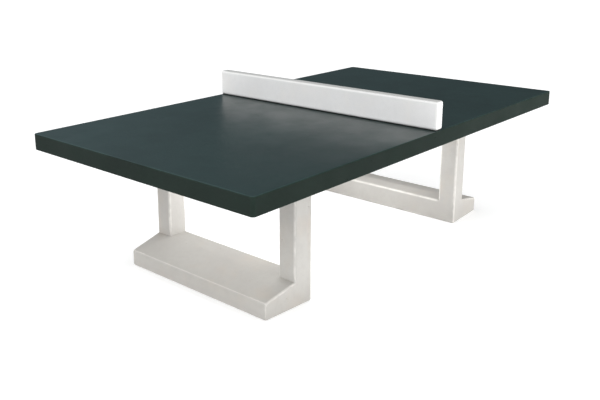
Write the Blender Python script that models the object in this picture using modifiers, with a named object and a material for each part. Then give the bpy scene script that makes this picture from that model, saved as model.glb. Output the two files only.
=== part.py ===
"""Fixed outdoor ping pong table: a precast concrete slab and net bar on two U-shaped concrete supports.

Units are metres. The origin is on the ground under the middle of the table, +X runs along the table,
+Y across it and +Z up. Touching pieces keep a small gap, named GAP.
"""

from math import cos, radians

import bmesh
import bpy
from mathutils import Matrix, Vector

GAP = 0.0003

# Slab
TOP_LENGTH = 2.740
TOP_WIDTH = 1.525
TOP_THICKNESS = 0.085
PLAYING_HEIGHT = 0.760
TOP_CORNER_RADIUS = 0.018
TOP_EDGE_ROUND = 0.004
UNDERSIDE = PLAYING_HEIGHT - TOP_THICKNESS

# Net bar and the strip that it is bedded on
NET_HEIGHT = 0.150
NET_THICKNESS = 0.060
NET_ROUND = 0.012
BEDDING_THICKNESS = 0.003
BEDDING_INSET = 0.005
NET_BOTTOM = PLAYING_HEIGHT + BEDDING_THICKNESS
NET_TOP = PLAYING_HEIGHT + NET_HEIGHT

# Supports: distances from the middle of the table, along X
SUPPORT_TOE = 1.000
UPRIGHT_OUTER = 0.805
UPRIGHT_INNER = 0.690
UPRIGHT_CENTRE = (UPRIGHT_OUTER + UPRIGHT_INNER) / 2
# Supports: half widths, along Y, and heights
SUPPORT_HALF_WIDTH = 0.505
OPENING_HALF_WIDTH = 0.393
UPRIGHT_Y = (SUPPORT_HALF_WIDTH + OPENING_HALF_WIDTH) / 2
END_DRAFT = 0.065
BASE_HEIGHT = 0.130
TOE_HEIGHT = 0.088
SUPPORT_ROUND = 0.014
PAD_THICKNESS = 0.005
PAD_SIZE = 0.068
PAD_HOLE_RADIUS = 0.012
UPRIGHT_TOP = UNDERSIDE - PAD_THICKNESS

# Dowels between the uprights and the slab
DOWEL_RADIUS = 0.008
DOWEL_IN_UPRIGHT = 0.120
DOWEL_IN_SLAB = 0.048
DOWEL_CHAMFER = 0.001
SLEEVE_RADIUS = 0.020
SLEEVE_WALL = 0.0015
SLEEVE_DEPTH = 0.056

# Net studs, which pass through the slab into pockets in its underside
STUD_RADIUS = 0.006
STUD_PLACES = (-0.55, 0.0, 0.55)
STUD_IN_NET = 0.095
STUD_HOLE_RADIUS = 0.007
POCKET_RADIUS = 0.025
POCKET_DEPTH = 0.026
STUD_END = 0.008
WASHER_RADIUS = 0.015
WASHER_THICKNESS = 0.0025
NUT_ACROSS_FLATS = 0.019
NUT_HEIGHT = 0.010
NET_BAR_RADIUS = 0.005
NET_BAR_COVER = 0.030

# Slab reinforcement
BAR_RADIUS = 0.004
MAT_HEIGHT = UNDERSIDE + 0.036
MAT_LENGTH = 2.660
MAT_WIDTH = 1.440
MAT_LONG_BARS = 6
MAT_LONG_PITCH = 0.280
MAT_CROSS_BARS = 12
MAT_CROSS_PITCH = 0.240
WELD_SINK = 0.0012

# Support reinforcement
CAGE_COVER = 0.028
CAGE_LAYER_HEIGHT = 0.046
CAGE_BEND_RADIUS = 0.035
CAGE_LINK_PITCH = 0.140
CAGE_LINKS = 6
CAGE_TIE_HEIGHTS = (0.250, 0.400)
CAGE_TOP_COVER = 0.030

# Plastic spacers under the reinforcement
SPACER_FOOT_RADIUS = 0.011
SPACER_HEAD_RADIUS = 0.008
SPACER_RECESS = 0.001
SLAB_SPACER_X = (-0.96, 0.0, 0.96)
SLAB_SPACER_Y = (-0.42, 0.42)
CAGE_SPACER_Y = 0.28

# Lifting sockets in the underside of the slab
SOCKET_X = 0.480
SOCKET_Y = 0.560
SOCKET_RADIUS = 0.013
SOCKET_BORE = 0.008
SOCKET_LENGTH = 0.050
SOCKET_END = 0.006
SOCKET_FLANGE_RADIUS = 0.019
SOCKET_FLANGE = 0.004
SOCKET_RECESS = 0.003
PLUG_HEAD_RADIUS = 0.0165
PLUG_HEAD = 0.0025
PLUG_SHANK = 0.018

MERGE_DISTANCE = 0.00001
ROUND_SIDES = 16
SMALL_SIDES = 12
BAR_SIDES = 6
SIDES = {"left": -1, "right": 1}


def clear_scene():
    for obj in list(bpy.data.objects):
        bpy.data.objects.remove(obj, do_unlink=True)


def new_collection(name):
    collection = bpy.data.collections.new(name)
    bpy.context.scene.collection.children.link(collection)
    return collection


def make_material(name, color, roughness, metallic=0.0):
    material = bpy.data.materials.new(name)
    material.use_nodes = True
    shader = material.node_tree.nodes["Principled BSDF"]
    shader.inputs["Base Color"].default_value = (*color, 1.0)
    shader.inputs["Roughness"].default_value = roughness
    shader.inputs["Metallic"].default_value = metallic
    return material


def add_part(name, mesh, material, location=(0.0, 0.0, 0.0)):
    obj = bpy.data.objects.new(name, mesh)
    obj.location = location
    mesh.materials.clear()
    mesh.materials.append(material)
    PARTS.objects.link(obj)
    return obj


def add_cutter(name, mesh, location=(0.0, 0.0, 0.0)):
    obj = bpy.data.objects.new(name, mesh)
    obj.location = location
    obj.hide_render = True
    obj.display_type = "WIRE"
    CUTTERS.objects.link(obj)
    return obj


def mesh_of(name, bm):
    mesh = bpy.data.meshes.new(name)
    bm.to_mesh(mesh)
    bm.free()
    return mesh


def box_mesh(name, low, high):
    """A box between two corners."""
    low, high = Vector(low), Vector(high)
    bm = bmesh.new()
    bmesh.ops.create_cube(bm, size=1.0)
    bmesh.ops.scale(bm, vec=high - low, verts=bm.verts)
    bmesh.ops.translate(bm, vec=(low + high) / 2, verts=bm.verts)
    return mesh_of(name, bm)


def rod_mesh(name, start, end, radius, sides=BAR_SIDES, end_radius=None):
    """A closed rod or cone between two points, with a flat of its outline facing up where it lies flat."""
    start, end = Vector(start), Vector(end)
    run = end - start
    bm = bmesh.new()
    bmesh.ops.create_cone(
        bm, cap_ends=True, segments=sides, radius1=radius,
        radius2=radius if end_radius is None else end_radius, depth=run.length,
    )
    bmesh.ops.rotate(bm, matrix=Matrix.Rotation(radians(180 / sides), 3, "Z"), verts=bm.verts)
    turn = run.to_track_quat("Z", "Y").to_matrix()
    bmesh.ops.rotate(bm, matrix=turn, verts=bm.verts)
    bmesh.ops.translate(bm, vec=(start + end) / 2, verts=bm.verts)
    return mesh_of(name, bm)


def turned_mesh(name, profile, sides=ROUND_SIDES):
    """A turned solid from points (radius, height), top to bottom down its outer side.

    A profile that starts on the axis also ends on it, and any other is a closed ring.
    """
    mesh = bpy.data.meshes.new(name)
    bm = bmesh.new()
    points = [bm.verts.new((radius, 0.0, height)) for radius, height in profile]
    for first, second in zip(points, points[1:]):
        bm.edges.new((first, second))
    if profile[0][0] > 0.0:
        bm.edges.new((points[-1], points[0]))
    bm.to_mesh(mesh)
    bm.free()
    obj = add_cutter(name + "_profile", mesh)
    screw = obj.modifiers.new("turn", "SCREW")
    screw.steps = sides
    screw.render_steps = sides
    screw.use_merge_vertices = True
    screw.merge_threshold = MERGE_DISTANCE
    return evaluated_mesh(obj)


def evaluated_mesh(obj):
    """The object's shape with its modifiers applied, as a mesh of its own. The object is removed."""
    bpy.context.view_layer.update()
    graph = bpy.context.evaluated_depsgraph_get()
    mesh = bpy.data.meshes.new_from_object(obj.evaluated_get(graph))
    bpy.data.objects.remove(obj, do_unlink=True)
    bm = bmesh.new()
    bm.from_mesh(mesh)
    bmesh.ops.remove_doubles(bm, verts=bm.verts, dist=MERGE_DISTANCE)
    bmesh.ops.recalc_face_normals(bm, faces=bm.faces)
    bm.to_mesh(mesh)
    bm.free()
    return mesh


def wire_mesh(name, points, radius):
    """A round bar bent through the points."""
    curve = bpy.data.curves.new(name, "CURVE")
    curve.dimensions = "3D"
    curve.bevel_depth = radius
    curve.bevel_resolution = 1
    curve.use_fill_caps = True
    spline = curve.splines.new("POLY")
    spline.points.add(len(points) - 1)
    for target, point in zip(spline.points, points):
        target.co = (*point, 1.0)
    obj = bpy.data.objects.new(name, curve)
    CUTTERS.objects.link(obj)
    return evaluated_mesh(obj)


def united_mesh(name, meshes):
    """One closed mesh from several that overlap."""
    first = add_cutter(name, meshes[0])
    others = [add_cutter(f"{name}_{i}", mesh) for i, mesh in enumerate(meshes[1:])]
    for other in others:
        add_boolean(first, other, "UNION")
    mesh = evaluated_mesh(first)
    for other in others:
        bpy.data.objects.remove(other, do_unlink=True)
    return mesh


def add_boolean(obj, cutter, operation="DIFFERENCE"):
    modifier = obj.modifiers.new(cutter.name, "BOOLEAN")
    modifier.operation = operation
    modifier.solver = "EXACT"
    modifier.object = cutter


def add_round(obj, width, segments=2, angle=30):
    modifier = obj.modifiers.new("rounded edges", "BEVEL")
    modifier.width = width
    modifier.segments = segments
    modifier.limit_method = "ANGLE"
    modifier.angle_limit = radians(angle)


def shade(obj, angle=40):
    obj.data.shade_smooth()
    obj.data.set_sharp_from_angle(angle=radians(angle))


def places_at(count, pitch):
    """Evenly spaced places about zero."""
    return [(i - (count - 1) / 2) * pitch for i in range(count)]


def cylinder_profile(radius, low, high, chamfer=0.0):
    """The profile of a solid cylinder, with both its rims chamfered."""
    if chamfer == 0.0:
        return [(0.0, high), (radius, high), (radius, low), (0.0, low)]
    return [
        (0.0, high), (radius - chamfer, high), (radius, high - chamfer),
        (radius, low + chamfer), (radius - chamfer, low), (0.0, low),
    ]


def ring_profile(outer, inner, low, high):
    return [(inner, high), (outer, high), (outer, low), (inner, low)]


# ---- reinforcement: each shape is made twice, at its own size and grown by GAP as its tunnel ----


def crossing_rise():
    """How far a crossing bar lies above the bar that it is welded to."""
    return 2 * BAR_RADIUS - WELD_SINK


def slab_mat_mesh(grow):
    radius = BAR_RADIUS + grow
    half_length = MAT_LENGTH / 2 + grow
    half_width = MAT_WIDTH / 2 + grow
    cross_height = MAT_HEIGHT + crossing_rise()
    bars = []
    for y in places_at(MAT_LONG_BARS, MAT_LONG_PITCH):
        bars.append(rod_mesh("bar", (-half_length, y, MAT_HEIGHT), (half_length, y, MAT_HEIGHT), radius))
    for x in places_at(MAT_CROSS_BARS, MAT_CROSS_PITCH):
        bars.append(rod_mesh("bar", (x, -half_width, cross_height), (x, half_width, cross_height), radius))
    return united_mesh("slab_mat_shape", bars)


def bent_bar_points(x, grow):
    """A U-shaped bar: up one upright, along the base and up the other upright."""
    y_bar = UPRIGHT_Y + BAR_RADIUS
    top = UPRIGHT_TOP - CAGE_TOP_COVER + grow
    low = CAGE_LAYER_HEIGHT
    reach = CAGE_BEND_RADIUS
    corner = reach * (1 - 0.5 ** 0.5)
    half = [
        (x, y_bar, top),
        (x, y_bar, low + reach),
        (x, y_bar - corner, low + corner),
        (x, y_bar - reach, low),
    ]
    return half + [(x, -y, z) for _, y, z in reversed(half)]


def support_cage_mesh(side, grow):
    radius = BAR_RADIUS + grow
    inner_x = side * (UPRIGHT_INNER + CAGE_COVER)
    outer_x = side * (UPRIGHT_OUTER - CAGE_COVER)
    toe_x = side * (SUPPORT_TOE - CAGE_COVER)
    half_width = UPRIGHT_Y + grow
    link_height = CAGE_LAYER_HEIGHT + crossing_rise()
    link_ends = (inner_x - side * (BAR_RADIUS * 2 + grow), toe_x + side * (BAR_RADIUS * 2 + grow))
    tie_ends = (inner_x - side * (BAR_RADIUS * 2 + grow), outer_x + side * (BAR_RADIUS * 2 + grow))
    bars = [wire_mesh("bar", bent_bar_points(x, grow), radius) for x in (inner_x, outer_x)]
    toe_low, toe_high = (toe_x, -half_width, CAGE_LAYER_HEIGHT), (toe_x, half_width, CAGE_LAYER_HEIGHT)
    bars.append(rod_mesh("bar", toe_low, toe_high, radius))
    for y in places_at(CAGE_LINKS, CAGE_LINK_PITCH):
        bars.append(rod_mesh("bar", (link_ends[0], y, link_height), (link_ends[1], y, link_height), radius))
    for y in (-UPRIGHT_Y, UPRIGHT_Y):
        tie_y = y * (UPRIGHT_Y + BAR_RADIUS - crossing_rise()) / UPRIGHT_Y
        for z in CAGE_TIE_HEIGHTS:
            bars.append(rod_mesh("bar", (tie_ends[0], tie_y, z), (tie_ends[1], tie_y, z), radius))
    return united_mesh("cage_shape", bars)


def net_armature_mesh(grow):
    bar_height = NET_BOTTOM + STUD_IN_NET - 2 * STUD_RADIUS
    half = TOP_WIDTH / 2 - NET_BAR_COVER + grow
    bars = [rod_mesh("bar", (0, -half, bar_height), (0, half, bar_height), NET_BAR_RADIUS + grow)]
    low = UNDERSIDE + STUD_END - grow
    high = NET_BOTTOM + STUD_IN_NET + grow
    for y in STUD_PLACES:
        bars.append(rod_mesh("stud", (0, y, low), (0, y, high), STUD_RADIUS + grow, sides=SMALL_SIDES))
    return united_mesh("armature_shape", bars)


def spacer_mesh(foot_height, bar_height, grow):
    """A tapered plastic spacer whose head reaches the middle of the bar that it holds."""
    return turned_mesh("spacer", [
        (0.0, bar_height + grow),
        (SPACER_HEAD_RADIUS + grow, bar_height + grow),
        (SPACER_FOOT_RADIUS + grow, foot_height),
        (0.0, foot_height),
    ], sides=SMALL_SIDES)


def add_spacer(name, place, floor, bar_height, bar_along, host):
    """One spacer under a bar, its pocket in the concrete, and the groove that the bar lies in."""
    low = floor + SPACER_RECESS
    spacer = add_part(name, spacer_mesh(low, bar_height, 0.0), PLASTIC, place)
    reach = Vector(bar_along) * SPACER_FOOT_RADIUS * 2
    middle = Vector((place[0], place[1], bar_height))
    groove = rod_mesh("groove", middle - reach, middle + reach, BAR_RADIUS + 2 * GAP)
    add_boolean(spacer, add_cutter(name + "_groove", groove))
    pocket = spacer_mesh(floor - SPACER_RECESS, bar_height, GAP)
    add_boolean(host, add_cutter(name + "_pocket", pocket, place))
    shade(spacer)


# ---- the slab and what is cast into it ----


def add_tabletop():
    bm = bmesh.new()
    bmesh.ops.create_cube(bm, size=1.0)
    bmesh.ops.scale(bm, vec=(TOP_LENGTH, TOP_WIDTH, TOP_THICKNESS), verts=bm.verts)
    bmesh.ops.translate(bm, vec=(0, 0, PLAYING_HEIGHT - TOP_THICKNESS / 2), verts=bm.verts)
    upright_edges = [edge for edge in bm.edges if abs(edge.verts[0].co.z - edge.verts[1].co.z) > GAP]
    bmesh.ops.bevel(
        bm, geom=upright_edges, offset=TOP_CORNER_RADIUS, segments=4, profile=0.5, affect="EDGES",
    )
    slab = add_part("tabletop_slab", mesh_of("tabletop_slab", bm), TINTED_CONCRETE)
    add_round(slab, TOP_EDGE_ROUND, segments=2, angle=60)
    return slab


def add_slab_mat(slab):
    add_part("slab_mat", slab_mat_mesh(0.0), STEEL)
    add_boolean(slab, add_cutter("slab_mat_tunnel", slab_mat_mesh(GAP)))
    number = 0
    for x in SLAB_SPACER_X:
        for y in SLAB_SPACER_Y:
            number += 1
            add_spacer(f"slab_spacer_{number}", (x, y, 0), UNDERSIDE, MAT_HEIGHT, (1, 0, 0), slab)


def add_lifting_sockets(slab):
    low = UNDERSIDE + SOCKET_RECESS
    high = low + SOCKET_LENGTH
    socket_profile = [
        (0.0, high), (SOCKET_RADIUS, high), (SOCKET_RADIUS, low + SOCKET_FLANGE),
        (SOCKET_FLANGE_RADIUS, low + SOCKET_FLANGE), (SOCKET_FLANGE_RADIUS, low),
        (SOCKET_BORE, low), (SOCKET_BORE, high - SOCKET_END), (0.0, high - SOCKET_END),
    ]
    pocket_profile = [
        (0.0, high + GAP), (SOCKET_RADIUS + GAP, high + GAP),
        (SOCKET_RADIUS + GAP, low + SOCKET_FLANGE + GAP),
        (SOCKET_FLANGE_RADIUS + GAP, low + SOCKET_FLANGE + GAP),
        (SOCKET_FLANGE_RADIUS + GAP, UNDERSIDE - SOCKET_RECESS), (0.0, UNDERSIDE - SOCKET_RECESS),
    ]
    head_top = low - GAP
    plug_profile = [
        (0.0, head_top + PLUG_SHANK), (SOCKET_BORE - GAP, head_top + PLUG_SHANK),
        (SOCKET_BORE - GAP, head_top), (PLUG_HEAD_RADIUS, head_top),
        (PLUG_HEAD_RADIUS, head_top - PLUG_HEAD), (0.0, head_top - PLUG_HEAD),
    ]
    socket_mesh = turned_mesh("lifting_socket", socket_profile)
    pocket_mesh = turned_mesh("lifting_pocket", pocket_profile)
    plug_mesh = turned_mesh("socket_plug", plug_profile)
    for number, (x, y) in enumerate(four_places(SOCKET_X, SOCKET_Y), start=1):
        shade(add_part(f"lifting_socket_{number}", socket_mesh, STEEL, (x, y, 0)))
        shade(add_part(f"socket_plug_{number}", plug_mesh, PLASTIC, (x, y, 0)))
        add_boolean(slab, add_cutter(f"lifting_pocket_{number}", pocket_mesh, (x, y, 0)))


def four_places(x, y):
    return [(-x, -y), (-x, y), (x, -y), (x, y)]


# ---- the net bar ----


def add_net_bar(slab):
    half = TOP_WIDTH / 2
    low = (-NET_THICKNESS / 2, -half, NET_BOTTOM + GAP)
    high = (NET_THICKNESS / 2, half, NET_TOP)
    net = add_part("net_bar", box_mesh("net_bar", low, high), WHITE_CONCRETE)
    add_round(net, NET_ROUND, segments=3)
    add_boolean(net, add_cutter("net_armature_tunnel", net_armature_mesh(GAP)))
    add_part("net_armature", net_armature_mesh(0.0), STEEL)

    inset = BEDDING_INSET
    low = (-NET_THICKNESS / 2 + inset, -half + inset, PLAYING_HEIGHT + GAP)
    high = (NET_THICKNESS / 2 - inset, half - inset, NET_BOTTOM)
    bedding = add_part("net_bedding_strip", box_mesh("net_bedding_strip", low, high), RUBBER)

    hole = cylinder_profile(STUD_HOLE_RADIUS, UNDERSIDE - POCKET_DEPTH, NET_BOTTOM + BEDDING_THICKNESS)
    pocket = cylinder_profile(POCKET_RADIUS, UNDERSIDE - POCKET_DEPTH, UNDERSIDE + POCKET_DEPTH)
    washer_top = UNDERSIDE + POCKET_DEPTH - GAP
    washer_low = washer_top - WASHER_THICKNESS
    nut_top = washer_low - GAP
    hole_mesh = turned_mesh("stud_hole", hole)
    pocket_mesh = turned_mesh("stud_pocket", pocket)
    washer = ring_profile(WASHER_RADIUS, STUD_HOLE_RADIUS, washer_low, washer_top)
    washer_mesh = turned_mesh("stud_washer", washer)
    nut_bore = cylinder_profile(STUD_RADIUS + GAP, nut_top - 2 * NUT_HEIGHT, nut_top + NUT_HEIGHT)
    bore_mesh = turned_mesh("nut_bore", nut_bore, sides=SMALL_SIDES)
    nut_corner = NUT_ACROSS_FLATS / 2 / cos(radians(30))
    for number, y in enumerate(STUD_PLACES, start=1):
        place = (0, y, 0)
        hole_cutter = add_cutter(f"stud_hole_{number}", hole_mesh, place)
        add_boolean(bedding, hole_cutter)
        add_boolean(slab, hole_cutter)
        add_boolean(slab, add_cutter(f"stud_pocket_{number}", pocket_mesh, place))
        shade(add_part(f"stud_washer_{number}", washer_mesh, STEEL, place))
        nut_mesh = rod_mesh("stud_nut", (0, 0, nut_top - NUT_HEIGHT), (0, 0, nut_top), nut_corner, sides=6)
        nut = add_part(f"stud_nut_{number}", nut_mesh, STEEL, place)
        add_boolean(nut, add_cutter(f"nut_bore_{number}", bore_mesh, place))


# ---- the supports ----


def extruded(bm, faces, offset):
    """Extrudes the faces as one region and moves them by the offset."""
    made = bmesh.ops.extrude_face_region(bm, geom=faces)["geom"]
    bmesh.ops.translate(bm, vec=offset, verts=[item for item in made if isinstance(item, bmesh.types.BMVert)])
    bmesh.ops.delete(bm, geom=faces, context="FACES")


def support_mesh(side):
    """One U-shaped casting: a block, with two uprights drawn up from it and a sloping toe drawn out."""
    bm = bmesh.new()
    bmesh.ops.create_cube(bm, size=1.0)
    block = (UPRIGHT_OUTER - UPRIGHT_INNER, 2 * SUPPORT_HALF_WIDTH, BASE_HEIGHT)
    bmesh.ops.scale(bm, vec=block, verts=bm.verts)
    bmesh.ops.translate(bm, vec=(side * UPRIGHT_CENTRE, 0, BASE_HEIGHT / 2), verts=bm.verts)
    for y in (-OPENING_HALF_WIDTH, OPENING_HALF_WIDTH):
        cut = bm.verts[:] + bm.edges[:] + bm.faces[:]
        bmesh.ops.bisect_plane(bm, geom=cut, plane_co=(0, y, 0), plane_no=(0, 1, 0))
    heads = [
        face for face in bm.faces
        if face.normal.z > 0.5 and abs(face.calc_center_median().y) > OPENING_HALF_WIDTH
    ]
    extruded(bm, heads, (0, 0, UPRIGHT_TOP - BASE_HEIGHT))
    front = [
        face for face in bm.faces
        if face.normal.x * side > 0.5 and face.calc_center_median().z < BASE_HEIGHT
    ]
    extruded(bm, front, (side * (SUPPORT_TOE - UPRIGHT_OUTER), 0, 0))
    for vertex in bm.verts:
        if abs(vertex.co.x) > UPRIGHT_OUTER + GAP and vertex.co.z > GAP:
            vertex.co.z = TOE_HEIGHT
        if abs(vertex.co.y) > OPENING_HALF_WIDTH + GAP:
            draft = END_DRAFT * (abs(vertex.co.x) - UPRIGHT_INNER)
            vertex.co.y -= draft if vertex.co.y > 0 else -draft
    bm.normal_update()
    corners = [edge for edge in bm.edges if edge.is_convex and edge.calc_face_angle() > radians(30)]
    bmesh.ops.bevel(
        bm, geom=corners, offset=SUPPORT_ROUND, segments=2, profile=0.5, affect="EDGES",
        clamp_overlap=True,
    )
    return mesh_of("support", bm)


def add_support(side_name, side):
    support = add_part(f"support_{side_name}", support_mesh(side), WHITE_CONCRETE)
    add_part(f"support_cage_{side_name}", support_cage_mesh(side, 0.0), STEEL)
    add_boolean(support, add_cutter(f"cage_tunnel_{side_name}", support_cage_mesh(side, GAP)))
    outer_x = side * (UPRIGHT_OUTER - CAGE_COVER)
    toe_x = side * (SUPPORT_TOE - CAGE_COVER)
    number = 0
    for x in (outer_x, toe_x):
        for y in (-CAGE_SPACER_Y, CAGE_SPACER_Y):
            number += 1
            name = f"cage_spacer_{side_name}_{number}"
            add_spacer(name, (x, y, 0), 0.0, CAGE_LAYER_HEIGHT, (0, 1, 0), support)
    return support


def add_slab_joints(slab, supports):
    """The dowel, sleeve, grout and pad between each upright and the slab."""
    sleeve_top = UNDERSIDE + SLEEVE_DEPTH
    bore = SLEEVE_RADIUS - SLEEVE_WALL
    dowel_top = UNDERSIDE + DOWEL_IN_SLAB
    dowel_low = UPRIGHT_TOP - DOWEL_IN_UPRIGHT
    dowel = turned_mesh("dowel", cylinder_profile(DOWEL_RADIUS, dowel_low, dowel_top, DOWEL_CHAMFER))
    dowel_hole = turned_mesh(
        "dowel_hole", cylinder_profile(DOWEL_RADIUS + GAP, dowel_low - GAP, UNDERSIDE),
    )
    sleeve = turned_mesh("dowel_sleeve", [
        (0.0, sleeve_top), (SLEEVE_RADIUS, sleeve_top), (SLEEVE_RADIUS, UNDERSIDE),
        (bore, UNDERSIDE), (bore, sleeve_top - SLEEVE_WALL), (0.0, sleeve_top - SLEEVE_WALL),
    ])
    sleeve_pocket = turned_mesh(
        "sleeve_pocket",
        cylinder_profile(SLEEVE_RADIUS + GAP, UNDERSIDE - SLEEVE_WALL, sleeve_top + GAP),
    )
    grout_top = sleeve_top - SLEEVE_WALL - GAP
    grout = turned_mesh("dowel_grout", [
        (0.0, grout_top), (bore - GAP, grout_top), (bore - GAP, UNDERSIDE),
        (DOWEL_RADIUS + GAP, UNDERSIDE), (DOWEL_RADIUS + GAP, dowel_top + GAP), (0.0, dowel_top + GAP),
    ])
    pad_half = PAD_SIZE / 2
    pad_low = (-pad_half, -pad_half, UPRIGHT_TOP + GAP)
    pad_high = (pad_half, pad_half, UNDERSIDE - GAP)
    pad_hole = turned_mesh(
        "pad_hole",
        cylinder_profile(PAD_HOLE_RADIUS, UPRIGHT_TOP - PAD_THICKNESS, UNDERSIDE + PAD_THICKNESS),
    )
    for number, (x, y) in enumerate(four_places(UPRIGHT_CENTRE, UPRIGHT_Y), start=1):
        place = (x, y, 0)
        support = supports["left" if x < 0 else "right"]
        shade(add_part(f"dowel_{number}", dowel, STEEL, place))
        add_boolean(support, add_cutter(f"dowel_hole_{number}", dowel_hole, place))
        shade(add_part(f"dowel_sleeve_{number}", sleeve, STEEL, place))
        add_boolean(slab, add_cutter(f"sleeve_pocket_{number}", sleeve_pocket, place))
        shade(add_part(f"dowel_grout_{number}", grout, GROUT, place))
        pad_mesh = box_mesh("bearing_pad", pad_low, pad_high)
        pad = add_part(f"bearing_pad_{number}", pad_mesh, RUBBER, place)
        add_boolean(pad, add_cutter(f"pad_hole_{number}", pad_hole, place))


clear_scene()
PARTS = new_collection("ping_pong_table")
CUTTERS = new_collection("cutters")
CUTTERS.hide_render = True

TINTED_CONCRETE = make_material("tinted_concrete", (0.040, 0.056, 0.052), 0.35)
WHITE_CONCRETE = make_material("white_concrete", (0.66, 0.64, 0.60), 0.80)
STEEL = make_material("steel", (0.45, 0.45, 0.46), 0.45, metallic=1.0)
PLASTIC = make_material("grey_plastic", (0.12, 0.12, 0.12), 0.50)
RUBBER = make_material("black_rubber", (0.015, 0.015, 0.016), 0.85)
GROUT = make_material("grout", (0.30, 0.29, 0.27), 0.90)

tabletop = add_tabletop()
add_slab_mat(tabletop)
add_lifting_sockets(tabletop)
add_net_bar(tabletop)
castings = {name: add_support(name, side) for name, side in SIDES.items()}
add_slab_joints(tabletop, castings)
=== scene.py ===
"""Looks of a fixed outdoor ping pong table.

It has a ground dark concrete top, a white net bar and two pale cast supports. Units are metres, in the
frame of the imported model: +X runs along the table, +Y across it and +Z up. Every piece is placed from
the box of the node that it stands for.
"""

import random
from math import cos, radians, sin, tau

import bmesh
import bpy
from mathutils import Matrix, Vector, noise


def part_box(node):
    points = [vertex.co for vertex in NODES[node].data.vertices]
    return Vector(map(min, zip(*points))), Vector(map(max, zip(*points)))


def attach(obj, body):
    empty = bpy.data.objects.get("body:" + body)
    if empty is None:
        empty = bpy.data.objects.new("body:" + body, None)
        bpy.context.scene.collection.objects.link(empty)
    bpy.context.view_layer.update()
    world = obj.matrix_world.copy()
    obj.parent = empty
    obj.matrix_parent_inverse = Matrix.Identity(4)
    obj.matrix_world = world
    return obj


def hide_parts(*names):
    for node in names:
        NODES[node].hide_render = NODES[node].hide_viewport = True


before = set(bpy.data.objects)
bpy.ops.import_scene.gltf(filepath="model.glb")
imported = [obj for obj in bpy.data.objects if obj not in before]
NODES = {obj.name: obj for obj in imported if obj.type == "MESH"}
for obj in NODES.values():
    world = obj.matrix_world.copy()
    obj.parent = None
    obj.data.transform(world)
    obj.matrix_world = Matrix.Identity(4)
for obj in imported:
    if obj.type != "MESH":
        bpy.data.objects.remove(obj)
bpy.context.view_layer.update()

BODY = "root"
SIDES = {"left": -1, "right": 1}
STUD_NUMBERS = (1, 2, 3)
PLUG_NUMBERS = (1, 2, 3, 4)

# Camera
CAMERA_PLACE = (-3.3547, -2.6337, 1.6900)
CAMERA_TURN = (75.223, 0.609, -47.170)
CAMERA_LENS = 45.955
CAMERA_SHIFT = (0.0726, -0.0949)
CAMERA_CLIP_END = 300

# Top
TOP_CORNER_RADIUS = 0.018
TOP_CORNER_STEPS = 8
TOP_EDGE_ROUND = 0.004
TOP_EDGE_STEPS = 4
TOP_PITCH = 0.015
TOP_WAVE = {"depth": 0.00025, "length": 0.22, "seed": 1}
TOP_PITS = {"count": 60, "seed": 11}

# Pockets in the underside of the top
POCKET_RADIUS = 0.025
POCKET_DEPTH = 0.026
POCKET_FLARE = 0.002
STUD_HOLE_RADIUS = 0.007
CUT_GAP = 0.0003
CUT_REACH = 0.010
TOP_HOLE_REACH = 0.070

# Fastenings in the pockets
STUD_RADIUS = 0.006
STUD_CHAMFER = 0.001
NET_BAR_RADIUS = 0.005
THREAD_PITCH = 0.00175
THREAD_DEPTH = 0.0010
THREAD_LENGTH = 0.030
THREAD_STEPS = 6
THREAD_SIDES = 24
WASHER_CHAMFER = 0.0004
NUT_SIDES = 6
NUT_FACE = 0.96
NUT_CHAMFER = 0.0011
PLUG_HEAD = 0.0025
PLUG_SHANK_RADIUS = 0.0077
PLUG_ROUND = 0.0008
PLUG_DIMPLE_RADIUS = 0.0045
PLUG_DIMPLE = 0.0015

# Net bar
NET_ROUND = 0.012
NET_PITCH = 0.011
NET_WAVE = {"depth": 0.0004, "length": 0.12, "seed": 2}
NET_PITS = {"count": 24, "seed": 12}

# Supports
UPRIGHT_DEPTH = 0.115
OPENING_HALF_WIDTH = 0.393
BASE_HEIGHT = 0.130
TOE_HEIGHT = 0.088
END_DRAFT = 0.065
SUPPORT_ROUND = 0.014
SUPPORT_PITCH = 0.016
SUPPORT_WAVE = {"depth": 0.0006, "length": 0.15}
SUPPORT_WAVE_SEED = 3
SUPPORT_PITS = 110
SUPPORT_PIT_SEED = 15

# Studio
DOME_BRIGHT_SIDE = (-0.86, -0.05, 0.45)
DOME_BAND = (-0.7, 0.7)
DOME_BRIGHTNESS = (0.05, 1.44)
ROOM_BRIGHT_SIDE = (-0.9, -0.1, 0.3)
ROOM_BAND = (-1.0, 0.6)
ROOM_BRIGHTNESS = (0.06, 0.8)
ROOM_COLOR = (0.78, 1.0, 1.10)
KEY_PLACE = (2.8, -5.0, 1.0)
KEY_TARGET = (-0.1, 0.0, 0.35)
KEY_SIZE = (4.0, 1.4)
KEY_POWER = 200
SIDE_PLACE = (-4.8, -0.8, 3.6)
SIDE_TARGET = (-0.5, 0.0, 0.4)
SIDE_SIZE = (2.6, 2.6)
SIDE_POWER = 40
FILL_PLACE = (0.0, 0.0, 0.660)
FILL_TARGET = (0.0, 0.0, 0.0)
FILL_SIZE = (1.7, 0.8)
FILL_POWER = 11.5
FLOOR_COLOR = (0.72, 0.72, 0.72)
FLOOR_GLOW = 0.42
FLOOR_REACH = 60

# Mesh
ROUND_STEPS = 5
FLAT_MARGIN = 0.0015
MERGE_DISTANCE = 1e-6
SMOOTH_ANGLE = radians(30)
ALONG_SHARE = 0.9
FULL_CELL_SHARE = 0.7
ROD_SIDES = 32
BAR_SIDES = 24
TURNED_SIDES = 48

# Painted highlight and painted shade, and pits
HIGHLIGHT_BEND = radians(14)
CORNER_SHADE_BEND = radians(50)
CORNER_SHADE_RINGS = 2
LOW_SHADE_HEIGHTS = (0.03, 0.17)
LOW_SHADE_STRENGTH = 0.3
TOP_SHADE_BAND = (0.55, 0.95)
PIT_SMALL = 0.0010
PIT_SPREAD = 0.0028
PIT_RISE = (0.1, 0.5)


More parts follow.
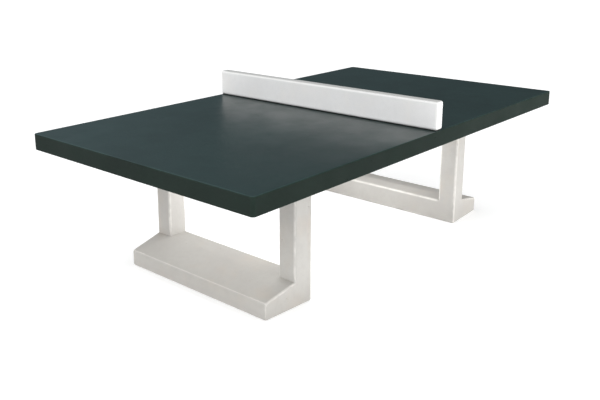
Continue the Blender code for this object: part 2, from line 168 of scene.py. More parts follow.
# ---- mesh helpers ----


def mesh_of(name, bm):
    """A mesh with the shape of bm, which is freed."""
    mesh = bpy.data.meshes.new(name)
    bm.to_mesh(mesh)
    bm.free()
    return mesh


def add_piece(name, mesh, material, slot, *replaced):
    """A new piece on the table's one body, which stands for the replaced nodes."""
    obj = bpy.data.objects.new(name, mesh)
    mesh.materials.clear()
    mesh.materials.append(material)
    bpy.context.scene.collection.objects.link(obj)
    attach(obj, BODY)
    if replaced:
        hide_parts(*replaced)
    return obj


def shade(obj):
    """Shades the piece smooth, with its sharp edges kept."""
    obj.data.shade_smooth()
    obj.data.set_sharp_from_angle(angle=SMOOTH_ANGLE)


def block(bm, low, high):
    """A box between two corners."""
    low, high = Vector(low), Vector(high)
    made = bmesh.ops.create_cube(bm, size=1.0)["verts"]
    bmesh.ops.scale(bm, vec=high - low, verts=made)
    bmesh.ops.translate(bm, vec=(low + high) / 2, verts=made)


def round_edges(bm, edges, radius, steps=ROUND_STEPS):
    """Replaces the edges with round ones."""
    bmesh.ops.bevel(
        bm, geom=edges, offset=radius, segments=steps, profile=0.5, affect="EDGES",
        clamp_overlap=True,
    )


def sharp_edges(bm, degrees=30):
    """The outward edges where the surface turns by more than this angle."""
    limit = radians(degrees)
    return [edge for edge in bm.edges if edge.is_convex and edge.calc_face_angle() > limit]


def cut_at(bm, axis, place):
    """Cuts every face that crosses the plane at this place along the axis."""
    normal = Vector((0, 0, 0))
    normal[axis] = 1
    bmesh.ops.bisect_plane(
        bm, geom=bm.verts[:] + bm.edges[:] + bm.faces[:], dist=MERGE_DISTANCE,
        plane_co=normal * place, plane_no=normal,
    )


def run_of(edge):
    """The vector from one end of the edge to the other."""
    return edge.verts[1].co - edge.verts[0].co


def along(edge, axis):
    """Whether the edge runs along this axis, or nearly so."""
    run = run_of(edge)
    return abs(run[axis]) > ALONG_SHARE * run.length


def divide(bm, pitch):
    """Divides every face into a grid of about this pitch.

    Every face here has four sides, and its opposite sides are equally long.
    """
    for axis in range(3):
        groups = {}
        for edge in bm.edges:
            if along(edge, axis):
                cuts = round(run_of(edge).length / pitch) - 1
                groups.setdefault(cuts, []).append(edge)
        for cuts, edges in groups.items():
            if cuts > 0:
                bmesh.ops.subdivide_edges(bm, edges=edges, cuts=cuts, use_grid_fill=True)


def mark_edges(bm):
    """Marks the vertices with 1 at an outer edge, for a painted highlight, and with less than 0 near an
    inner corner, for painted shade.
    """
    layer = bm.verts.layers.float.new("edge")
    for vertex in bm.verts:
        bends = [edge.calc_face_angle_signed(0.0) for edge in vertex.link_edges]
        highlight_mark = min(1.0, max(0.0, max(bends)) / HIGHLIGHT_BEND)
        corner_shade_mark = min(1.0, max(0.0, -min(bends)) / CORNER_SHADE_BEND)
        vertex[layer] = highlight_mark - corner_shade_mark
    # The painted shade of inner corners spreads over a few rings of vertices.
    for _ in range(CORNER_SHADE_RINGS):
        spread = {}
        for vertex in bm.verts:
            around = [edge.other_vert(vertex)[layer] for edge in vertex.link_edges]
            lowest = min(around)
            if lowest < 0 and vertex[layer] > lowest / 2:
                spread[vertex] = lowest / 2
        for vertex, value in spread.items():
            vertex[layer] = value


def wave(mesh, depth, length, seed):
    """Lowers the surface gently and unevenly, by at most this depth."""
    shift = Vector((seed, 2.3 * seed, 3.7 * seed))
    normals = [vertex.normal.copy() for vertex in mesh.vertices]
    for vertex, normal in zip(mesh.vertices, normals):
        place = vertex.co / length + shift
        height = noise.noise(place) + 0.5 * noise.noise(place * 3)
        vertex.co -= normal * depth * min(1.0, max(0.0, 0.5 + 0.5 * height))


def evaluated_mesh(obj):
    """The object's shape with its modifiers applied. The object is removed."""
    bpy.context.view_layer.update()
    graph = bpy.context.evaluated_depsgraph_get()
    mesh = bpy.data.meshes.new_from_object(obj.evaluated_get(graph))
    bpy.data.objects.remove(obj, do_unlink=True)
    return mesh


def combined(mesh, cutter, operation="DIFFERENCE"):
    """The mesh without the space that the cutter's closed shells hold, or only with that space."""
    holder = bpy.data.objects.new("holder", mesh)
    tool = bpy.data.objects.new("tool", cutter)
    for obj in (holder, tool):
        bpy.context.scene.collection.objects.link(obj)
    modifier = holder.modifiers.new("cut", "BOOLEAN")
    modifier.operation = operation
    modifier.solver = "EXACT"
    modifier.object = tool
    result = evaluated_mesh(holder)
    bpy.data.objects.remove(tool, do_unlink=True)
    return result


def add_pits(bm, faces, count, seed):
    """Small air bubbles that break the cast surface, each at the middle of one of the faces."""
    chance = random.Random(seed)
    for face in chance.sample(faces, min(count, len(faces))):
        radius = PIT_SMALL + PIT_SPREAD * chance.random() ** 3
        place = face.center + face.normal * radius * chance.uniform(*PIT_RISE)
        bmesh.ops.create_icosphere(
            bm, subdivisions=2, radius=radius, matrix=Matrix.Translation(place),
        )


def grid_faces(mesh, pitch, accept):
    """The faces of the flat grid that a test accepts, away from rounded edges."""
    full = FULL_CELL_SHARE * pitch ** 2
    return [face for face in mesh.polygons if face.area > full and accept(face)]


def add_rod(bm, place, radius, low, high, high_radius=None):
    """An upright cylinder or cone about a place."""
    bmesh.ops.create_cone(
        bm, cap_ends=True, segments=ROD_SIDES, radius1=radius,
        radius2=radius if high_radius is None else high_radius, depth=high - low,
        matrix=Matrix.Translation((place[0], place[1], (low + high) / 2)),
    )


def turned_mesh(name, place, profile):
    """A solid turned about an upright axis from a profile of (radius, height).

    The profile starts and ends on the axis. One that starts away from it is closed to a ring.
    """
    bm = bmesh.new()
    points = [bm.verts.new((radius, 0.0, height)) for radius, height in profile]
    pairs = list(zip(points, points[1:]))
    if profile[0][0] > 0.0:
        pairs.append((points[-1], points[0]))
    edges = [bm.edges.new(pair) for pair in pairs]
    bmesh.ops.spin(
        bm, geom=points + edges, cent=(0, 0, 0), axis=(0, 0, 1), angle=tau, steps=TURNED_SIDES,
        use_merge=True,
    )
    bmesh.ops.remove_doubles(bm, verts=bm.verts, dist=MERGE_DISTANCE)
    bmesh.ops.recalc_face_normals(bm, faces=bm.faces)
    bmesh.ops.translate(bm, vec=(place[0], place[1], 0), verts=bm.verts)
    return mesh_of(name, bm)


def add_threaded_rod(bm, place, low, high):
    """An upright rod with a real screw thread at its lower end."""
    step = THREAD_PITCH / THREAD_STEPS
    dense = int(THREAD_LENGTH / step)
    threaded = [low + STUD_CHAMFER + i * step for i in range(dense)]
    heights = [low, *threaded, high - STUD_CHAMFER, high]
    rings = []
    for i, height in enumerate(heights):
        ring = []
        for k in range(THREAD_SIDES):
            phase = ((height - low) / THREAD_PITCH - k / THREAD_SIDES) % 1.0
            depth = THREAD_DEPTH * abs(2 * phase - 1) if i <= dense else 0.0
            if i in (0, len(heights) - 1):
                depth = STUD_CHAMFER
            radius = STUD_RADIUS - depth
            angle = tau * k / THREAD_SIDES
            x = place.x + radius * cos(angle)
            y = place.y + radius * sin(angle)
            ring.append(bm.verts.new((x, y, height)))
        rings.append(ring)
    for lower, upper in zip(rings, rings[1:]):
        for k in range(THREAD_SIDES):
            after = (k + 1) % THREAD_SIDES
            bm.faces.new((lower[k], lower[after], upper[after], upper[k]))
    bm.faces.new(reversed(rings[0]))
    bm.faces.new(rings[-1])


# ---- shader helpers ----


def new_material(name, roughness, metallic=0.0, specular=0.5):
    """A new material, with its node tree and its Principled shader."""
    material = bpy.data.materials.new(name)
    material.use_nodes = True
    shader = material.node_tree.nodes["Principled BSDF"]
    shader.inputs["Roughness"].default_value = roughness
    shader.inputs["Metallic"].default_value = metallic
    shader.inputs["Specular IOR Level"].default_value = specular
    return material, material.node_tree, shader


def stretched_place(tree, stretch=(1, 1, 1)):
    """The place on the object, in metres times the stretch."""
    coordinates = tree.nodes.new("ShaderNodeTexCoord")
    mapping = tree.nodes.new("ShaderNodeMapping")
    mapping.inputs["Scale"].default_value = stretch
    tree.links.new(coordinates.outputs["Object"], mapping.inputs["Vector"])
    return mapping.outputs["Vector"]


def remapped(tree, value, low, high, to_low=0.0, to_high=1.0, interpolation="LINEAR"):
    """The value from low to high, spread over to_low to to_high."""
    remap = tree.nodes.new("ShaderNodeMapRange")
    remap.interpolation_type = interpolation
    tree.links.new(value, remap.inputs["Value"])
    remap.inputs["From Min"].default_value = low
    remap.inputs["From Max"].default_value = high
    remap.inputs["To Min"].default_value = to_low
    remap.inputs["To Max"].default_value = to_high
    return remap.outputs["Result"]


def clouds(tree, scale, detail=4.0, rough=0.55, stretch=(1, 1, 1)):
    """Soft noise about 0.5, with this many cycles in a metre."""
    texture = tree.nodes.new("ShaderNodeTexNoise")
    texture.inputs["Scale"].default_value = scale
    texture.inputs["Detail"].default_value = detail
    texture.inputs["Roughness"].default_value = rough
    tree.links.new(stretched_place(tree, stretch), texture.inputs["Vector"])
    return texture.outputs["Fac"]


def cells(tree, scale, output="Distance"):
    """Cells of random size, this many in a metre: the distance to the middle or a random colour."""
    texture = tree.nodes.new("ShaderNodeTexVoronoi")
    texture.inputs["Scale"].default_value = scale
    tree.links.new(stretched_place(tree), texture.inputs["Vector"])
    return texture.outputs[output]


def mixed(tree, factor, first, second):
    """A colour from first at factor 0 to second at 1. Each is a colour or a socket."""
    mix = tree.nodes.new("ShaderNodeMix")
    mix.data_type = "RGBA"
    tree.links.new(factor, mix.inputs["Factor"])
    for name, value in (("A", first), ("B", second)):
        socket = next(item for item in mix.inputs if item.name == name and item.type == "RGBA")
        if isinstance(value, tuple):
            socket.default_value = (*value, 1.0)
        else:
            tree.links.new(value, socket)
    return next(item for item in mix.outputs if item.type == "RGBA")


def raised(tree, shader, layers):
    """Bump from (height, distance in metres) layers, each on the one before."""
    normal = None
    for height, distance in layers:
        bump = tree.nodes.new("ShaderNodeBump")
        bump.inputs["Distance"].default_value = distance
        tree.links.new(height, bump.inputs["Height"])
        if normal is not None:
            tree.links.new(normal, bump.inputs["Normal"])
        normal = bump.outputs["Normal"]
    tree.links.new(normal, shader.inputs["Normal"])


def marked(tree, from_value, to_value, strength, grain):
    """How far the stored edge mark lies between two values, broken up by noise."""
    attribute = tree.nodes.new("ShaderNodeAttribute")
    attribute.attribute_name = "edge"
    reach = remapped(tree, attribute.outputs["Fac"], from_value, to_value)
    broken = remapped(tree, clouds(tree, grain, detail=5), 0.30, 0.60, 0.35 * strength, strength)
    product = tree.nodes.new("ShaderNodeMath")
    product.operation = "MULTIPLY"
    tree.links.new(reach, product.inputs[0])
    tree.links.new(broken, product.inputs[1])
    return product.outputs["Value"]


# ---- materials ----


def toned(tone, color):
    """The colour, this many times as bright."""
    return tuple(tone * part for part in color)


def dark_concrete(name, color, roughness, specular):
    """Dark green concrete of one pigment, with clouding, fine sand grains and a painted highlight along
    its outer edges.
    """
    material, tree, shader = new_material(name, roughness, specular=specular)
    broad = remapped(tree, clouds(tree, 1.6, detail=3), 0.35, 0.65)
    mix = mixed(tree, broad, color, toned(1.35, color))
    medium = remapped(tree, clouds(tree, 14, detail=5), 0.42, 0.72, 0.0, 0.5)
    mix = mixed(tree, medium, mix, toned(1.7, color))
    grains = remapped(tree, cells(tree, 190), 0.10, 0.28, 0.55, 0.0)
    mix = mixed(tree, grains, mix, toned(2.5, color))
    # Painted highlight: the outer edges are lightened towards three times the colour.
    mix = mixed(tree, marked(tree, 0.3, 1.0, strength=0.5, grain=30), mix, toned(3.0, color))
    tree.links.new(mix, shader.inputs["Base Color"])
    gloss = remapped(tree, clouds(tree, 7, detail=6), 0.35, 0.70, roughness - 0.05, roughness + 0.05)
    tree.links.new(gloss, shader.inputs["Roughness"])
    raised(tree, shader, [(clouds(tree, 260, detail=3), 0.00012)])
    return material


def cast_concrete(name, pale, dull, warm, edge, stain_and_shade, top_shade):
    """Pale cast concrete with soft clouding and a painted highlight along its outer edges.

    Painted shade darkens its inner corners, its upper faces and a band just above the floor.
    """
    material, tree, shader = new_material(name, 0.75, specular=0.35)
    broad = remapped(tree, clouds(tree, 3.5, detail=4), 0.36, 0.66)
    color = mixed(tree, broad, pale, dull)
    runs = clouds(tree, 6.5, detail=3, stretch=(1.0, 1.0, 0.6))
    color = mixed(tree, remapped(tree, runs, 0.50, 0.70, 0.0, 0.6), color, warm)
    blotches = clouds(tree, 28, detail=6, rough=0.65)
    color = mixed(tree, remapped(tree, blotches, 0.48, 0.70, 0.0, 0.55), color, dull)
    flecks = remapped(tree, cells(tree, 170), 0.06, 0.20, 0.40, 0.0)
    color = mixed(tree, flecks, color, stain_and_shade)
    # Painted highlight: the outer edges take the edge colour.
    color = mixed(tree, marked(tree, 0.2, 1.0, strength=0.9, grain=22), color, edge)
    # Painted shade: the inner corners are darkened.
    color = mixed(tree, marked(tree, 0.0, -0.8, strength=0.25, grain=12), color, stain_and_shade)
    # Painted shade: faces that look upward are darkened.
    geometry = tree.nodes.new("ShaderNodeNewGeometry")
    upward = tree.nodes.new("ShaderNodeSeparateXYZ")
    tree.links.new(geometry.outputs["True Normal"], upward.inputs["Vector"])
    top_shaded = remapped(tree, upward.outputs["Z"], *TOP_SHADE_BAND, 0.0, top_shade)
    color = mixed(tree, top_shaded, color, stain_and_shade)
    # Painted shade: darker towards the bottom, in a band just above the floor.
    height = tree.nodes.new("ShaderNodeSeparateXYZ")
    tree.links.new(stretched_place(tree), height.inputs["Vector"])
    low_shade = remapped(tree, height.outputs["Z"], *LOW_SHADE_HEIGHTS, LOW_SHADE_STRENGTH, 0.0)
    color = mixed(tree, low_shade, color, stain_and_shade)
    tree.links.new(color, shader.inputs["Base Color"])
    gloss = remapped(tree, clouds(tree, 9, detail=4), 0.35, 0.70, 0.62, 0.85)
    tree.links.new(gloss, shader.inputs["Roughness"])
    raised(tree, shader, [
        (clouds(tree, 45, detail=6), 0.0006),
        (clouds(tree, 420, detail=2), 0.00015),
    ])
    return material


def mottled(name, color, other, roughness, metallic=0.0, scale=60, bump=0.0002):
    """A finish of two near colours in soft patches, with uneven gloss and a fine texture."""
    material, tree, shader = new_material(name, roughness, metallic)
    patches = remapped(tree, clouds(tree, scale, detail=5), 0.35, 0.65)
    tree.links.new(mixed(tree, patches, color, other), shader.inputs["Base Color"])
    smears = clouds(tree, scale * 2, detail=4)
    gloss = remapped(tree, smears, 0.3, 0.7, roughness - 0.08, roughness + 0.08)
    tree.links.new(gloss, shader.inputs["Roughness"])
    raised(tree, shader, [(clouds(tree, scale * 8, detail=3), bump)])
    return material


def galvanised_steel():
    """Zinc with crystals of slightly different greys."""
    material, tree, shader = new_material("galvanised_steel", 0.42, metallic=1.0)
    crystals = tree.nodes.new("ShaderNodeSeparateColor")
    tree.links.new(cells(tree, 350, "Color"), crystals.inputs["Color"])
    color = mixed(tree, crystals.outputs["Red"], (0.36, 0.37, 0.38), (0.55, 0.56, 0.57))
    tree.links.new(color, shader.inputs["Base Color"])
    gloss = remapped(tree, crystals.outputs["Green"], 0.0, 1.0, 0.34, 0.52)
    tree.links.new(gloss, shader.inputs["Roughness"])
    raised(tree, shader, [(clouds(tree, 900, detail=2), 0.00005)])
    return material


# ---- pieces ----


def pocket_cutter(underside):
    """The pockets and holes in the underside, at the pieces that lie in them."""
    bm = bmesh.new()
    start = underside - CUT_REACH
    flare = POCKET_FLARE * (POCKET_DEPTH + CUT_REACH) / POCKET_DEPTH
    for name in sorted(NODES):
        low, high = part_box(name)
        middle = (low + high) / 2
        radius = (high.x - low.x) / 2 + CUT_GAP
        if name.startswith("stud_washer"):
            roof = underside + POCKET_DEPTH
            add_rod(bm, middle, POCKET_RADIUS + flare, start, roof, high_radius=POCKET_RADIUS)
            add_rod(bm, middle, STUD_HOLE_RADIUS, roof - CUT_GAP, underside + TOP_HOLE_REACH)
        elif name.startswith(("dowel_sleeve", "lifting_socket", "slab_spacer")):
            add_rod(bm, middle, radius, start, high.z + CUT_GAP)
    return bm


def add_top(ground, cast):
    """The slab. Its top is ground and polished, and its sides and underside are as cast."""
    low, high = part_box("tabletop_slab")
    bm = bmesh.new()
    block(bm, low, high)
    for axis in range(2):
        cut_at(bm, axis, low[axis] + TOP_CORNER_RADIUS + FLAT_MARGIN)
        cut_at(bm, axis, high[axis] - TOP_CORNER_RADIUS - FLAT_MARGIN)
    cut_at(bm, 2, low.z + TOP_EDGE_ROUND + FLAT_MARGIN)
    cut_at(bm, 2, high.z - TOP_EDGE_ROUND - FLAT_MARGIN)
    divide(bm, TOP_PITCH)
    corners = [edge for edge in sharp_edges(bm) if along(edge, 2)]
    round_edges(bm, corners, TOP_CORNER_RADIUS, TOP_CORNER_STEPS)
    round_edges(bm, sharp_edges(bm, 60), TOP_EDGE_ROUND, TOP_EDGE_STEPS)
    bm.normal_update()
    mark_edges(bm)
    mesh = mesh_of("tabletop_slab_ground", bm)
    wave(mesh, **TOP_WAVE)
    holes = pocket_cutter(low.z)
    sides = grid_faces(mesh, TOP_PITCH, lambda face: abs(face.normal.z) < 0.5)
    add_pits(holes, sides, **TOP_PITS)
    mesh = combined(mesh, mesh_of("pockets", holes))
    mesh.name = "tabletop_slab_ground"
    top = add_piece("tabletop_slab_ground", mesh, ground, "tinted_concrete", "tabletop_slab")
    mesh.materials.append(cast)
    rim = high.z - TOP_EDGE_ROUND
    for face in mesh.polygons:
        face.material_index = 0 if face.normal.z > 0.7 and face.center.z > rim else 1
    shade(top)


def add_net(material):
    """The net bar, with rounded edges and a few pits."""
    low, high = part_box("net_bar")
    bm = bmesh.new()
    block(bm, low, high)
    for axis in range(3):
        cut_at(bm, axis, low[axis] + NET_ROUND + FLAT_MARGIN)
        cut_at(bm, axis, high[axis] - NET_ROUND - FLAT_MARGIN)
    divide(bm, NET_PITCH)
    round_edges(bm, sharp_edges(bm), NET_ROUND)
    bm.normal_update()
    mark_edges(bm)
    mesh = mesh_of("net_bar_cast", bm)
    wave(mesh, **NET_WAVE)
    holes = bmesh.new()
    shown = grid_faces(mesh, NET_PITCH, lambda face: face.center.z > low.z + NET_ROUND)
    add_pits(holes, shown, **NET_PITS)
    mesh = combined(mesh, mesh_of("pits", holes))
    mesh.name = "net_bar_cast"
    shade(add_piece("net_bar_cast", mesh, material, "white_concrete", "net_bar"))


def add_armature(material):
    """The bar inside the net with its studs, which are threaded where they take the nuts."""
    low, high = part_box("net_armature")
    bm = bmesh.new()
    for number in STUD_NUMBERS:
        washer_low, washer_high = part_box(f"stud_washer_{number}")
        add_threaded_rod(bm, (washer_low + washer_high) / 2, low.z, high.z)
    middle = (low + high) / 2
    middle.z = high.z - 2 * STUD_RADIUS
    turn = Matrix.Translation(middle) @ Matrix.Rotation(radians(90), 4, "X")
    bmesh.ops.create_cone(
        bm, cap_ends=True, segments=BAR_SIDES, radius1=NET_BAR_RADIUS, radius2=NET_BAR_RADIUS,
        depth=high.y - low.y, matrix=turn,
    )
    name = "net_armature_threaded"
    shade(add_piece(name, mesh_of(name, bm), material, "galvanised_steel", "net_armature"))


def add_washer(number, material):
    """A stamped washer with a chamfered rim."""
    node = f"stud_washer_{number}"
    low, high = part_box(node)
    outer = (high.x - low.x) / 2
    mesh = turned_mesh(f"{node}_stamped", (low + high) / 2, [
        (STUD_HOLE_RADIUS, high.z),
        (outer - WASHER_CHAMFER, high.z),
        (outer, high.z - WASHER_CHAMFER),
        (outer, low.z + WASHER_CHAMFER),
        (outer - WASHER_CHAMFER, low.z),
        (STUD_HOLE_RADIUS, low.z),
    ])
    shade(add_piece(mesh.name, mesh, material, "galvanised_steel", node))


def add_nut(number, material):
    """A hexagonal nut whose corners are turned off at both faces."""
    node = f"stud_nut_{number}"
    low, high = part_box(node)
    middle = (low + high) / 2
    flat = (high.x - low.x) / 2
    corner = (high.y - low.y) / 2
    bm = bmesh.new()
    rings = []
    for height in (low.z, high.z):
        ring = []
        for k in range(NUT_SIDES):
            angle = tau * k / NUT_SIDES
            x = middle.x + corner * sin(angle)
            y = middle.y + corner * cos(angle)
            ring.append(bm.verts.new((x, y, height)))
        rings.append(ring)
    lower, upper = rings
    for k in range(NUT_SIDES):
        after = (k + 1) % NUT_SIDES
        bm.faces.new((lower[k], upper[k], upper[after], lower[after]))
    bm.faces.new(lower)
    bm.faces.new(reversed(upper))
    bmesh.ops.recalc_face_normals(bm, faces=bm.faces)
    wide = corner + CUT_GAP
    turning = turned_mesh("turning", middle, [
        (0.0, high.z),
        (flat * NUT_FACE, high.z),
        (wide, high.z - NUT_CHAMFER),
        (wide, low.z + NUT_CHAMFER),
        (flat * NUT_FACE, low.z),
        (0.0, low.z),
    ])
    bore = bmesh.new()
    add_rod(bore, middle, STUD_RADIUS + CUT_GAP, low.z - CUT_REACH, high.z + CUT_REACH)
    mesh = combined(mesh_of("hexagon", bm), turning, "INTERSECT")
    mesh = combined(mesh, mesh_of("bore", bore))
    mesh.name = f"{node}_turned"
    shade(add_piece(mesh.name, mesh, material, "galvanised_steel", node))


def add_plug(number, material):
    """A push-in plug with a soft rim and a dimple in the middle of its head."""
    node = f"socket_plug_{number}"
    low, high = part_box(node)
    head = (high.x - low.x) / 2
    brim = low.z + PLUG_HEAD
    mesh = turned_mesh(f"{node}_moulded", (low + high) / 2, [
        (0.0, high.z),
        (PLUG_SHANK_RADIUS - PLUG_ROUND, high.z),
        (PLUG_SHANK_RADIUS, high.z - PLUG_ROUND),
        (PLUG_SHANK_RADIUS, brim),
        (head, brim),
        (head, low.z + PLUG_ROUND),
        (head - PLUG_ROUND / 2, low.z + PLUG_ROUND / 3),
        (head - 2 * PLUG_ROUND, low.z),
        (PLUG_DIMPLE_RADIUS + PLUG_ROUND, low.z),
        (PLUG_DIMPLE_RADIUS, low.z + PLUG_ROUND / 2),
        (PLUG_DIMPLE_RADIUS, low.z + PLUG_DIMPLE),
        (0.0, low.z + PLUG_DIMPLE),
    ])
    shade(add_piece(mesh.name, mesh, material, "grey_plastic", node))


def extrude(bm, faces, offset):
    """Extrudes the faces as one region and moves them by the offset."""
    made = bmesh.ops.extrude_face_region(bm, geom=faces)["geom"]
    moved = [item for item in made if isinstance(item, bmesh.types.BMVert)]
    bmesh.ops.translate(bm, vec=offset, verts=moved)
    bmesh.ops.delete(bm, geom=faces, context="FACES")


def support_block(side, low, high, inner, outer, toe):
    """The square form of one casting.

    It starts as a block with its back at inner and its front at outer. Two uprights are drawn up from
    its ends, and its front is drawn out as far as the toe.
    """
    bm = bmesh.new()
    ends = sorted((side * inner, side * outer))
    block(bm, (ends[0], low.y, low.z), (ends[1], high.y, BASE_HEIGHT))
    inset = SUPPORT_ROUND + FLAT_MARGIN
    for y in (OPENING_HALF_WIDTH, OPENING_HALF_WIDTH + inset, high.y - inset):
        cut_at(bm, 1, y)
        cut_at(bm, 1, -y)
    for x in (inner + inset, outer - inset):
        cut_at(bm, 0, side * x)
    cut_at(bm, 2, low.z + inset)
    heads = [
        face for face in bm.faces
        if face.normal.z > 0.5 and abs(face.calc_center_median().y) > OPENING_HALF_WIDTH
    ]
    extrude(bm, heads, (0, 0, high.z - BASE_HEIGHT))
    cut_at(bm, 2, BASE_HEIGHT - inset)
    cut_at(bm, 2, high.z - inset)
    front = [
        face for face in bm.faces
        if face.normal.x * side > 0.5 and face.calc_center_median().z < BASE_HEIGHT
    ]
    extrude(bm, front, (side * (toe - outer), 0, 0))
    cut_at(bm, 0, side * (toe - inset))
    bm.normal_update()
    return bm


def add_support(side_name, side, material):
    """One U-shaped casting, whose toe slopes down and narrows."""
    node = f"support_{side_name}"
    low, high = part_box(node)
    inner = min(abs(low.x), abs(high.x))
    toe = max(abs(low.x), abs(high.x))
    outer = inner + UPRIGHT_DEPTH
    bm = support_block(side, low, high, inner, outer, toe)
    divide(bm, SUPPORT_PITCH)
    for vertex in bm.verts:
        reach = max(0.0, abs(vertex.co.x) - outer) / (toe - outer)
        vertex.co.z *= 1 - reach * (1 - TOE_HEIGHT / BASE_HEIGHT)
        over = max(0.0, abs(vertex.co.y) - OPENING_HALF_WIDTH) / (high.y - OPENING_HALF_WIDTH)
        draft = over * END_DRAFT * (abs(vertex.co.x) - inner)
        vertex.co.y -= draft if vertex.co.y > 0 else -draft
    bm.normal_update()
    round_edges(bm, sharp_edges(bm), SUPPORT_ROUND)
    bm.normal_update()
    mark_edges(bm)
    name = f"{node}_cast"
    mesh = mesh_of(name, bm)
    wave(mesh, seed=SUPPORT_WAVE_SEED + side, **SUPPORT_WAVE)
    holes = bmesh.new()
    shown = grid_faces(mesh, SUPPORT_PITCH, lambda face: face.center.z > low.z + SUPPORT_ROUND)
    add_pits(holes, shown, SUPPORT_PITS, SUPPORT_PIT_SEED + side)
    for spacer in sorted(NODES):
        if spacer.startswith(f"cage_spacer_{side_name}"):
            foot_low, foot_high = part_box(spacer)
            middle = (foot_low + foot_high) / 2
            radius = (foot_high.x - foot_low.x) / 2 + CUT_GAP
            add_rod(holes, middle, radius, low.z - CUT_REACH, foot_high.z + CUT_GAP)
    mesh = combined(mesh, mesh_of("pits", holes))
    mesh.name = name
    shade(add_piece(name, mesh, material, "white_concrete", node))


# ---- studio ----


def add_floor():
    """Pale paper that looks a little brighter than the light it throws back at the table."""
    bm = bmesh.new()
    bmesh.ops.create_grid(bm, x_segments=8, y_segments=8, size=FLOOR_REACH)
    floor = bpy.data.objects.new("floor", mesh_of("floor", bm))
    material, tree, shader = new_material("floor_paper", 0.8)
    shader.inputs["Base Color"].default_value = (*FLOOR_COLOR, 1.0)
    shader.inputs["Emission Color"].default_value = (1.0, 1.0, 1.0, 1.0)
    path = tree.nodes.new("ShaderNodeLightPath")
    glow = remapped(tree, path.outputs["Is Camera Ray"], 0.0, 1.0, 0.0, FLOOR_GLOW)
    tree.links.new(glow, shader.inputs["Emission Strength"])
    floor.data.materials.append(material)
    bpy.context.scene.collection.objects.link(floor)


def add_area_light(name, place, target, size, power):
    """A rectangular light that no camera and no polished surface sees."""
    data = bpy.data.lights.new(name, "AREA")
    data.shape = "RECTANGLE"
    data.size, data.size_y = size
    data.energy = power
    light = bpy.data.objects.new(name, data)
    light.location = place
    light.rotation_euler = (Vector(target) - Vector(place)).to_track_quat("-Z", "Y").to_euler()
    light.visible_camera = False
    light.visible_glossy = False
    bpy.context.scene.collection.objects.link(light)


def facing(tree, direction, band, brightness):
    """A brightness that grows smoothly towards this direction of the sky.

    The band holds the cosines of the angle to it at which the growth starts and ends.
    """
    coordinates = tree.nodes.new("ShaderNodeTexCoord")
    product = tree.nodes.new("ShaderNodeVectorMath")
    product.operation = "DOT_PRODUCT"
    tree.links.new(coordinates.outputs["Generated"], product.inputs[0])
    product.inputs[1].default_value = Vector(direction).normalized()
    return remapped(tree, product.outputs["Value"], *band, *brightness, "SMOOTHSTEP")


def add_world():
    """A bright soft dome, which polished surfaces see as a dimmer room."""
    world = bpy.data.worlds.new("studio")
    bpy.context.scene.world = world
    world.use_nodes = True
    tree = world.node_tree
    dome = tree.nodes["Background"]
    dome.inputs["Color"].default_value = (1.0, 1.0, 1.0, 1.0)
    glow = facing(tree, DOME_BRIGHT_SIDE, DOME_BAND, DOME_BRIGHTNESS)
    tree.links.new(glow, dome.inputs["Strength"])
    room = tree.nodes.new("ShaderNodeBackground")
    room.inputs["Color"].default_value = (*ROOM_COLOR, 1.0)
    glow = facing(tree, ROOM_BRIGHT_SIDE, ROOM_BAND, ROOM_BRIGHTNESS)
    tree.links.new(glow, room.inputs["Strength"])
    path = tree.nodes.new("ShaderNodeLightPath")
    mix = tree.nodes.new("ShaderNodeMixShader")
    tree.links.new(path.outputs["Is Glossy Ray"], mix.inputs["Fac"])
    tree.links.new(dome.outputs["Background"], mix.inputs[1])
    tree.links.new(room.outputs["Background"], mix.inputs[2])
    tree.links.new(mix.outputs["Shader"], tree.nodes["World Output"].inputs["Surface"])


def add_studio():
    """The floor, the sky and three lights."""
    add_floor()
    add_world()
    add_area_light("key", KEY_PLACE, KEY_TARGET, KEY_SIZE, KEY_POWER)
    add_area_light("side", SIDE_PLACE, SIDE_TARGET, SIDE_SIZE, SIDE_POWER)
    add_area_light("fill", FILL_PLACE, FILL_TARGET, FILL_SIZE, FILL_POWER)


def add_camera():
    """The scene's own camera."""
    data = bpy.data.cameras.new("camera")
    data.lens = CAMERA_LENS
    data.shift_x, data.shift_y = CAMERA_SHIFT
    data.clip_end = CAMERA_CLIP_END
    camera = bpy.data.objects.new("camera", data)
    camera.location = CAMERA_PLACE
    camera.rotation_euler = [radians(angle) for angle in CAMERA_TURN]
    bpy.context.scene.collection.objects.link(camera)
    bpy.context.scene.camera = camera


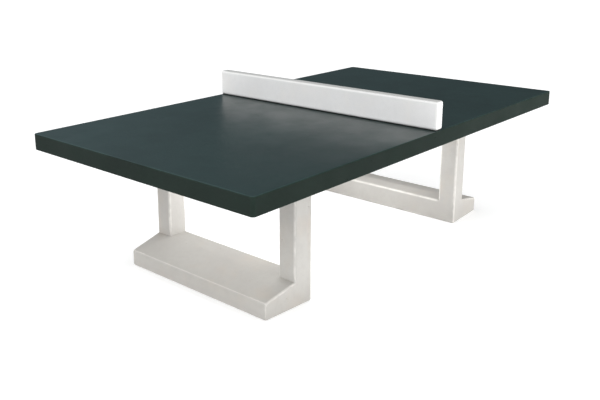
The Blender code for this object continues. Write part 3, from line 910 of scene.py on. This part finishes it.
def paint(material, *starts):
    """Gives the material to every kept node whose name starts in one of these ways."""
    for name, obj in NODES.items():
        if name.startswith(starts):
            obj.data.materials.clear()
            obj.data.materials.append(material)


add_camera()
add_studio()
bpy.context.scene.view_settings.view_transform = "Standard"

# Both dark concretes get a painted highlight along their outer edges.
GROUND = dark_concrete(
    "ground_dark_concrete", color=(0.0090, 0.0195, 0.0180), roughness=0.34, specular=0.53,
)
DARK = dark_concrete(
    "cast_dark_concrete", color=(0.0080, 0.0145, 0.0112), roughness=0.60, specular=0.15,
)
# The edge colour is a painted highlight, the stain colour also serves as painted shade, and the upward
# faces get painted shade.
PALE = cast_concrete(
    "pale_cast_concrete", pale=(0.570, 0.555, 0.525), dull=(0.510, 0.490, 0.465),
    warm=(0.570, 0.515, 0.455), edge=(0.80, 0.775, 0.735), stain_and_shade=(0.36, 0.34, 0.31), top_shade=0.25,
)
WHITE = cast_concrete(
    "white_cast_concrete", pale=(0.775, 0.775, 0.775), dull=(0.73, 0.73, 0.73),
    warm=(0.775, 0.76, 0.74), edge=(0.765, 0.765, 0.755), stain_and_shade=(0.46, 0.46, 0.45), top_shade=1.0,
)
add_top(GROUND, DARK)
add_net(WHITE)
for side_name, side in SIDES.items():
    add_support(side_name, side, PALE)

RUBBER = mottled("black_rubber", (0.016, 0.016, 0.016), (0.026, 0.025, 0.024), roughness=0.78)
ZINC = galvanised_steel()
MILL_STEEL = mottled(
    "mill_scale_steel", (0.07, 0.07, 0.075), (0.13, 0.065, 0.035), roughness=0.62, metallic=0.6,
    scale=90,
)
PLASTIC = mottled(
    "grey_plastic", (0.11, 0.11, 0.115), (0.14, 0.14, 0.14), roughness=0.46, scale=120,
    bump=0.00005,
)
GROUT = mottled(
    "grout", (0.27, 0.26, 0.24), (0.34, 0.33, 0.30), roughness=0.88, scale=150, bump=0.0004,
)
add_armature(ZINC)
for stud_number in STUD_NUMBERS:
    add_washer(stud_number, ZINC)
    add_nut(stud_number, ZINC)
for plug_number in PLUG_NUMBERS:
    add_plug(plug_number, PLASTIC)
paint(RUBBER, "bearing_pad", "net_bedding")
paint(ZINC, "dowel", "lifting")
paint(MILL_STEEL, "slab_mat", "support_cage")
paint(PLASTIC, "slab_spacer", "cage_spacer")
paint(GROUT, "dowel_grout")
